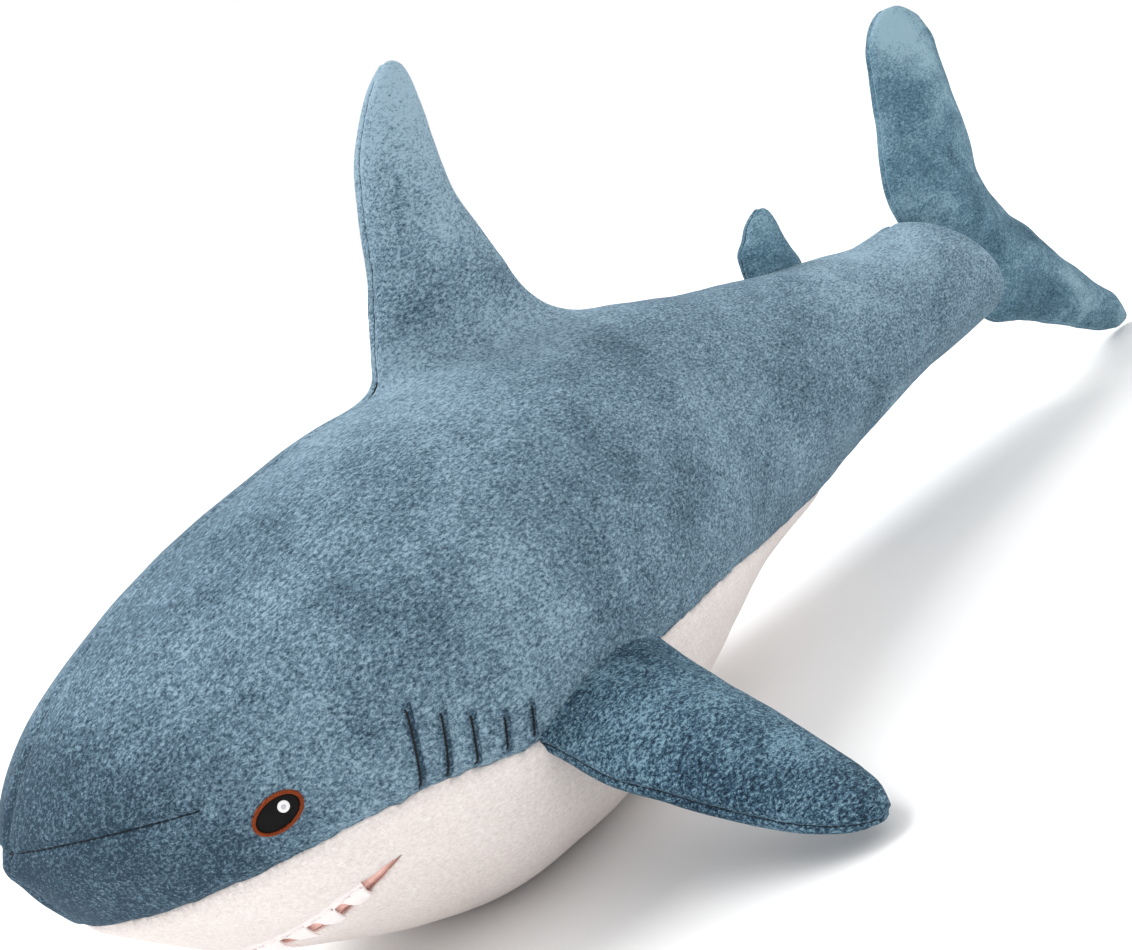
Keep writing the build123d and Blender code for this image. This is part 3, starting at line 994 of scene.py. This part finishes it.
def make_body():
    """The body's panels, its seams, mouth, eyes and gills."""
    bm = body_skin()
    tree = BVHTree.FromBMesh(bm)
    gill_lines = [gill_path(tree, top, bottom, side, 0) for top, bottom in GILLS for side in (-1, 1)]
    points = points_of(bm)
    normals = np.array([vert.normal for vert in bm.verts])
    nap_and_painted_light = body_nap_and_painted_light(points)
    distance = distance_to(points, np.concatenate(gill_lines), 14)
    ends = distance_to(points, np.concatenate([line[[0]] for line in gill_lines]), 14)
    # Painted shade in the grooves where the gill stitches pull the fabric in, and a painted highlight on the
    # fabric puffed up beside them.
    nap_and_painted_light = nap_and_painted_light + 0.3 * bell(distance, 9) - 1.1 * bell(distance, 2.2)
    pull = 3.4 * bell(distance, 2.6) + 1.2 * bell(ends, 4) - 1.2 * bell(distance, 8)
    move_points(bm, points - normals * (pull * (1 + 0.3 * billows(points, 7, 12)))[:, None])
    groove(bm, [SIDE], 2.4, 3.2)
    groove(bm, [MIDLINE], 2.0, 2.8)
    groove(bm, [DART], 1.6, 2.6, 14)
    groove(bm, [LIP_EDGE], 1.4, 3.0, 16)
    points = on_floor(points_of(bm))
    move_points(bm, points)
    bm.normal_update()
    tree = BVHTree.FromBMesh(bm)
    blue, white = MATERIALS["blue_plush"], MATERIALS["white_plush"]
    bodies = ("torso", "dorsal_fin")
    for side, panel in (("left", BACK_LEFT), ("right", BACK_RIGHT)):
        back = thicken(new_piece(f"plush_back_{side}", points, panel_faces(bm, panel), blue, nap_and_painted_light), SKIN)
        nodes = [f"back_panel_{side}", f"dorsal_fin_{side}_panel"]
        finish_piece(back, bodies, nodes, DORSAL_BEND)
    belly = thicken(new_piece("plush_belly", points, panel_faces(bm, (BELLY, MOUTH_EDGE)), white), SKIN)
    finish_piece(belly, "torso", ["belly_panel"])
    make_lining(bm)
    make_body_threads(bm)
    make_teeth(tree)
    for side, name in ((-1, "left"), (1, "right")):
        make_eye(tree, side, name)
        make_gills(tree, side, name)
    make_closing(tree)
    bm.free()
    stuffing = padding("torso_filling", body_form(8), 0, MATERIALS["fibre_fill"])
    finish_piece(stuffing, "torso", ["body_stuffing"])
    form = fin_form(DORSAL_PLANE, DORSAL_CHORDS[2:-1], inset=7)
    filling = padding("dorsal_fin_filling", form, 0, MATERIALS["fibre_fill"])
    finish_piece(filling, bodies, ["dorsal_fin_stuffing"], DORSAL_BEND)


def make_lining(bm):
    """The pink lining, which runs on a little behind both lips."""
    points = points_of(bm)
    normals = np.array([vert.normal for vert in bm.verts])
    depth = 0.8 + 1.4 * (1 - ramp(mouth_depth(points), 0.5, 4))
    sheet = panel_faces(bm, (MOUTH, MOUTH_EDGE))
    points = points - normals * depth[:, None]
    lining = new_piece("mouth_lining_fabric", points, sheet, MATERIALS["pink_fabric"])
    finish_piece(thicken(lining, 0.8), "torso", ["mouth_lining"])


def mouth_depth(points):
    """How far inside the mouth's opening the points are, from its nearer lip."""
    return np.minimum(-lip_level(UPPER_LIP)(points), lip_level(LOWER_LIP)(points))


def sunk(run, what):
    """How far a seam's thread lies under the fabric's edge: on the fin it shows least."""
    depth = (0.0, 0.0, 0.35)[what]
    outward = run - DORSAL_PLANE.at(78, 60)
    return depth * outward / np.linalg.norm(outward, axis=1)[:, None]


def make_body_threads(bm):
    """The machine-sewn seams: along the sides, over the back and fin, under the tail and on the snout."""
    material = MATERIALS["blue_thread"]

    def sew(name, paths, nodes, radius, bodies="torso", crossing=None):
        form = joined([stitched_thread(path, radius) for path in paths])
        finish_piece(new_piece(name, *form, material), bodies, nodes, crossing)

    bm.normal_update()
    outward = {tuple(vert.co): vert.normal for vert in bm.verts}
    side = [path - 0.7 * np.array([outward[tuple(p)] for p in path]) for path in seam_paths(bm, SIDE)]
    sew("side_seam_stitching", side, ["side_seam_thread"], 0.35)
    over, under, fin = [], [], []
    for path in seam_paths(bm, MIDLINE):
        _, v, _ = DORSAL_PLANE.local(path)
        on_fin, at_rear = (v > 5) & (path[:, 0] < 0), (path[:, 0] > 40) & (path[:, 2] < 120)
        kind = np.where(on_fin, 2, np.where(at_rear, 1, 0))
        cuts = np.nonzero(np.diff(kind))[0] + 1
        for run, what in zip(np.split(path, cuts), kind[np.concatenate([[0], cuts])]):
            if len(run) > 3:
                (over, under, fin)[what].append(run - sunk(run, what))
    bend = ("torso", "dorsal_fin"), DORSAL_BEND
    sew("back_seam_stitching", over, ["back_seam_thread"], 0.75, *bend)
    sew("dorsal_seam_stitching", fin, ["dorsal_fin_seam_thread"], 0.6, *bend)
    sew("under_tail_stitching", under, ["under_tail_seam_thread"], 0.6)
    sew("snout_dart_stitching", seam_paths(bm, DART, 6), ["snout_dart_threads"], 0.6)


TOOTH_COUNT = 12
TOOTH_ARC = 97
TOOTH_LENGTH = 12
TOOTH_HEM = 0.5
TOOTH_BASE = 0.97  # how much of its pitch a tooth's base fills
TOOTH_TIP = 0.88  # where along its base a tooth's tip stands, towards the mouth's corner


def tooth_drop(phase):
    """A shark tooth's outline: a long hollow front, a blunt tip, a steep back, and a short gap."""
    front = np.sin(np.clip(phase / TOOTH_BASE / TOOTH_TIP, 0, 1) * pi / 2) ** 1.9
    back = np.clip((1 - phase / TOOTH_BASE) / (1 - TOOTH_TIP), 0, 1) ** 0.7
    return np.where(phase < TOOTH_TIP * TOOTH_BASE, front, back)


def make_teeth(tree):
    """The saw-toothed felt strip under the upper lip's edge, laid on the fabric below it."""
    center, radius = UPPER_LIP
    phases = np.linspace(-TOOTH_COUNT / 2, TOOTH_COUNT / 2, TOOTH_COUNT * 32 + 1)
    rows = 10
    rings = []
    for phase in phases:
        angle = radians(TOOTH_ARC / TOOTH_COUNT * phase)
        place = abs(phase) + 0.5 * (TOOTH_COUNT % 2)
        size = TOOTH_LENGTH * (1.04 - 0.03 * abs(phase))
        size *= 1 + 0.1 * sin(3.7 * int(place) + (1 if phase < 0 else 0))
        drop = TOOTH_HEM + size * float(tooth_drop(place % 1))
        start = Vector((center - (radius - 0.5) * cos(angle), (radius - 0.5) * sin(angle), -50))
        hit, normal, _, _ = tree.ray_cast(start, Vector((0, 0, 1)))
        inward = Vector((center - hit.x, -hit.y, 0)).normalized()
        down = (inward - inward.dot(normal) * normal).normalized()
        outer, inner = [], []
        for row in range(rows):
            t = row / (rows - 1)
            point = hit + down * (drop * t - 1.5 * (1 - t))
            near, face_normal, _, _ = tree.find_nearest(point)
            lift = 0.2 + 1.8 * ramp(t, 0, 0.35) - 0.2 * t * t
            outer.append(near + face_normal * (lift + 0.55))
            inner.append(near + face_normal * (lift - 0.45))
        rings.append(outer + inner[::-1])
    rings = np.array(rings)
    form = rings.reshape(-1, 3), tube_faces(len(rings), 2 * rows)
    teeth = new_piece("felt_upper_teeth", *form, MATERIALS["white_felt"])
    outward_faces(teeth, radians(40))
    finish_piece(teeth, "torso", ["upper_teeth"])


EYE_CENTER = (-420.5, -91, 125)
EYE_OUTWARD = (-0.52, -0.85, 0.05)
EYE_TILT = 12
EYE_SIZE = (12.2, 8.1)
EYE_RING = 1.9
EYE_RING_STITCHES = 66
GLINT_PLACE = (3.7, 1.0)
GLINT_SIZE = (2.6, 2.6)
GLINT_HEART = (1.15, 1.15)


def make_eye(tree, side, name):
    """An embroidered eye: a black oval, a brown satin ring round it, and a white glint with a grey heart."""
    outward = Vector((EYE_OUTWARD[0], -side * EYE_OUTWARD[1], EYE_OUTWARD[2])).normalized()
    center = Vector((EYE_CENTER[0], -side * EYE_CENTER[1], EYE_CENTER[2]))
    level = Vector((0, 0, 1)).cross(outward).normalized() * (-side)
    upright = Vector((0, 0, 1))
    upright = (upright - upright.dot(outward) * outward).normalized()
    tilt = radians(EYE_TILT)
    rear = level * cos(tilt) + upright * sin(tilt)
    top = upright * cos(tilt) - level * sin(tilt)

    def on_cheek(a, b, lift):
        start = center + rear * a + top * b + outward * 40
        hit, _, _, _ = tree.ray_cast(start, -outward)
        return hit + outward * lift

    def oval(middle, size, around, lift):
        """Points on the cheek round an oval. lift is one height, or a function of the point's number."""
        height = lift if callable(lift) else lambda number: lift
        turns = np.arange(around) * 2 * pi / around
        return [
            on_cheek(middle[0] + size[0] * cos(a), middle[1] + size[1] * sin(a), height(number))
            for number, a in enumerate(turns)
        ]

    def disc(middle, size, dome, base, around=120, rows=9):
        rings = []
        for row in range(rows):
            share = max(row / (rows - 1), 0.01)
            lift = base + dome * np.sqrt(1 - share**2 * 0.98)
            rings.append(oval(middle, (size[0] * share, size[1] * share), around, lift))
        rings.append(oval(middle, size, around, base - 1.5))
        rings.append([center_of(rings[-1]) + (Vector(p) - center_of(rings[-1])) * 0.01 for p in rings[-1]])
        rings = np.array(rings)
        return rings.reshape(-1, 3), tube_faces(len(rings), around)

    def ring(size, width, height, base, around=240, rows=9):
        rings = []
        for row in range(rows):
            share = row / (rows - 1)
            arch = height * np.sqrt(max(1 - (2 * share - 1) ** 2, 0))
            reach = [extent - width * (1 - share) for extent in size]
            beat = pi * EYE_RING_STITCHES / around
            rings.append(oval((0, 0), reach, around, lambda n: base + arch * (0.75 + 0.25 * abs(sin(n * beat)))))
        for share in (1.0, 0.0):
            reach = [extent - width * (1 - share) for extent in size]
            rings.append(oval((0, 0), reach, around, base - 1.2))
        rings = np.array(rings)
        count = len(rings)
        faces = tube_faces(count, around)[:-2]
        for j in range(around):
            k = (j + 1) % around
            faces.append(((count - 1) * around + j, (count - 1) * around + k, k, j))
        return rings.reshape(-1, 3), faces

    inner = (EYE_SIZE[0] - EYE_RING + 0.3, EYE_SIZE[1] - EYE_RING + 0.3)
    glint = disc(GLINT_PLACE, GLINT_SIZE, 0.5, 1.3, 48, 6)
    heart = disc(GLINT_PLACE, GLINT_HEART, 0.3, 1.7, 32, 4)
    pieces = [
        ("eye_pupil", disc((0, 0), inner, 0.7, 0.5), "black_embroidery", ["eye_pupil"]),
        ("eye_ring", ring(EYE_SIZE, EYE_RING, 1.3, 0.3), "brown_embroidery", ["eye_ring"]),
        ("eye_glint", glint, "white_embroidery", ["eye_glint"]),
        ("eye_glint_heart", heart, "grey_embroidery", []),
    ]
    for kind, form, material, nodes in pieces:
        piece = new_piece(f"{name}_{kind}", *form, MATERIALS[material])
        outward_faces(piece)
        finish_piece(piece, "torso", [f"{name}_{node}" for node in nodes])


def center_of(points):
    return sum((Vector(point) for point in points), Vector()) / len(points)


def outward_faces(piece, crisp=pi):
    """Turns all faces outward, and keeps edges crisp where the faces turn by more than crisp."""
    piece.data.update()
    bm = bmesh.new()
    bm.from_mesh(piece.data)
    for edge in bm.edges:
        if len(edge.link_faces) == 2 and edge.calc_face_angle(0) > crisp:
            edge.smooth = False
    bmesh.ops.recalc_face_normals(bm, faces=bm.faces)
    bm.to_mesh(piece.data)
    bm.free()


def make_gills(tree, side, name):
    """Five heavy stitches of twisted black thread, each pulled into the fabric at its ends."""
    forms = []
    for top, bottom in GILLS:
        path = even_path(gill_path(tree, top, bottom, side, 0.45), 0.45, 2)
        count = len(path)
        ends = np.minimum(np.arange(count), np.arange(count)[::-1]) * 0.45
        sink = Vector((0, side, 0.1))
        path = path - np.array(sink)[None] * (2.2 * bell(ends, 1.3))[:, None]
        for strand in (0, pi):
            turn = np.arange(count) * 0.45 * 2 * pi / 3.5 + strand
            tangent = np.gradient(path, axis=0)
            tangent /= np.linalg.norm(tangent, axis=1)[:, None]
            across = np.cross(tangent, (0, side, 0))
            across /= np.linalg.norm(across, axis=1)[:, None]
            out = np.cross(across, tangent)
            line = path + 0.28 * (np.cos(turn)[:, None] * across + np.sin(turn)[:, None] * out)
            forms.append(cord_form(line, 0.34, 8))
    piece = new_piece(f"{name}_gill_stitching", *joined(forms), MATERIALS["black_thread"])
    finish_piece(piece, "torso", [f"{name}_gill_stitches"])


CLOSING_START, CLOSING_STEP, CLOSING_COUNT, CLOSING_WIDTH = 120, 9, 9, 9


def make_closing(tree):
    """Hand stitches across the seam under the tail, where the stuffing went in."""
    forms = []
    for number in range(CLOSING_COUNT):
        x = CLOSING_START + number * CLOSING_STEP
        path = []
        for t in np.linspace(-1, 1, 15):
            start = Vector((x + 1.2 * t, t * CLOSING_WIDTH / 2, -20))
            hit, normal, _, _ = tree.ray_cast(start, Vector((0, 0, 1)))
            path.append(hit + normal * (0.5 - 1.6 * abs(t) ** 6))
        forms.append(cord_form(path, 0.5, 8))
    piece = new_piece("closing_stitching", *joined(forms), MATERIALS["blue_thread"])
    finish_piece(piece, "torso", ["closing_stitches"])


# ---- the fins

# Each fin: its plane, chords, body, panel names, the bend's two distances from the hinge axis,
# its plush, and its folds as (points along and away from the axis, side, width, depth)
SIDE_FOLDS = [
    ([(8, 4), (12, 34)], -1, 5, 1.6),
    ([(24, 2), (28, 26)], -1, 4, 1.8),
    ([(42, 2), (44, 30)], -1, 5, 1.8),
    ([(60, 2), (58, 24)], -1, 4, 1.6),
    ([(78, 2), (74, 32)], -1, 5, 1.6),
    ([(18, 2), (20, 24)], 1, 5, 1.5),
    ([(50, 2), (50, 28)], 1, 5, 1.5),
    ([(80, 2), (78, 24)], 1, 5, 1.5),
]


# Places on a fin's sides with a painted sheen highlight (or painted shade, below 0):
# (along and away from the axis, side or 0 for both, reach, how much)
PAINTED_SHEEN_AND_SHADE_SPOTS = {
    "left_fin": [
        ((74, 55), 1, 18, 1.6),
        ((30, 20), 1, 26, -0.6),
        ((10, 70), 1, 16, -0.35),
        ((50, 115), 1, 22, 0.3),
    ],
    "tail_fin": [
        ((-68, 125), 1, 20, 0.9),
        ((-30, 85), 1, 18, -0.5),
        ((-45, 120), 1, 40, 0.6),
        ((60, 30), -1, 26, 0.5),
        ((210, 90), 0, 40, 0.3),
    ],
    "rear_fin": [((30, 30), 0, 12, 0.3)],
}
PAINTED_SHEEN_AND_SHADE_SPOTS["right_fin"] = PAINTED_SHEEN_AND_SHADE_SPOTS["left_fin"]


def fin_nap_and_painted_light(name, points, u, v, w):
    """A fin's pile tone: uneven brushed pile, plus painted sheen highlights and painted shade at the listed
    spots.
    """
    nap_and_painted_light = 0.3 * billows(points, 28, 31)
    for (along, away), side, reach, amount in PAINTED_SHEEN_AND_SHADE_SPOTS[name]:
        on_side = ramp(w * side, -4, 4) if side else 1
        nap_and_painted_light = nap_and_painted_light + amount * on_side * bell(np.hypot(u - along, v - away), reach)
    return nap_and_painted_light


FIN_THREAD_START = -6  # how far from the hinge axis the edge seam's thread begins
FIN_BEND_PLACE = 50  # where along the hinge axis the bend's two ends are measured


def sewn_fin(name, plane, chords, panels, bodies, bend, plush_name, folds=(), mirrored=False, voxel=2.2):
    """One stuffed fin: two panels, the thread of the seam round its edge, and its stuffing."""
    points, faces = remeshed(fin_form(plane, chords), voxel)
    points = smoothed(points, faces, 10)
    uneven = billows(points, 30, 4) * 1.1 + billows(points, 12, 8) * 0.3
    points = points + normals_of(points, faces) * uneven[:, None]
    creases = []
    for path, side, width, depth in folds:
        on_fin = []
        u, v, w = plane.local(points)
        for fold_u, fold_v in path:
            near = (np.abs(u - fold_u) < 6) & (np.abs(v - fold_v) < 6) & (w * side > 0)
            height = np.abs(w[near]).mean() if near.any() else 10
            on_fin.append(plane.at(fold_u, fold_v, side * height))
        creases.append((on_fin, width, depth))
    points = creased(points, normals_of(points, faces), creases)
    bm = sewing_mesh(points, faces)
    cut_along(bm, lambda p: plane.local(p)[2], 1)
    label_panels(bm, [lambda p: plane.local(p)[2]], lambda middles, positive: positive)
    groove(bm, [1], 2.0, 2.6, 16)
    points = points_of(bm)
    parts = {positive: panel_faces(bm, int(positive)) for positive in (True, False)}
    nap_and_painted_light = fin_nap_and_painted_light(name, points, *plane.local(points))
    edge = []
    for path in seam_paths(bm, 1):
        _, v, _ = plane.local(path)
        runs = np.split(path, np.nonzero(np.diff(v > FIN_THREAD_START))[0] + 1)
        edge += [run for run in runs if plane.local(run)[1].max() > FIN_THREAD_START]
    bm.free()
    flip = np.array((1, -1 if mirrored else 1, 1))
    crossing = [plane.at(FIN_BEND_PLACE, distance) * flip for distance in bend]
    for positive, panel in zip((True, False), panels):
        sheet = [face[::-1] for face in parts[positive]] if mirrored else parts[positive]
        piece = new_piece(f"plush_{name}_{panel}", points * flip, sheet, MATERIALS[plush_name], nap_and_painted_light)
        thicken(piece, FIN_SKIN)
        finish_piece(piece, bodies, [f"{name}_{panel}_panel"], crossing)
    form = joined([stitched_thread(path * flip, 0.5) for path in edge if len(path) > 6])
    # The tail fin's seam thread is paler: a painted highlight on the raised seam ridge.
    color = "painted_highlight_thread" if name == "tail_fin" else "blue_thread"
    stitching = new_piece(f"{name}_stitching", *form, MATERIALS[color])
    finish_piece(stitching, bodies, [f"{name}_seam_thread"], crossing)
    inner_points, inner_faces = remeshed(fin_form(plane, chords[1:-1], inset=5.5), 6)
    filling = new_piece(f"{name}_filling", inner_points * flip, inner_faces, MATERIALS["fibre_fill"])
    outward_faces(filling)
    finish_piece(filling, bodies, [f"{name}_stuffing"], crossing)


def make_fins():
    for name, mirrored in (("left_fin", False), ("right_fin", True)):
        sewn_fin(
            name, SIDE_PLANE, SIDE_CHORDS, ("lower", "upper"), ("torso", name), (-4, 34), "fin_plush",
            SIDE_FOLDS, mirrored,
        )
    upright = [
        ("rear_fin", REAR_PLANE, REAR_CHORDS, (-1, 10)),
        ("tail_fin", TAIL_PLANE, TAIL_CHORDS, (-2, 36)),
    ]
    for name, plane, chords, bend in upright:
        sewn_fin(name, plane, chords, ("left", "right"), ("torso", name), bend, "tail_plush")


make_camera()
make_floor()
make_light()
make_body()
make_fins()
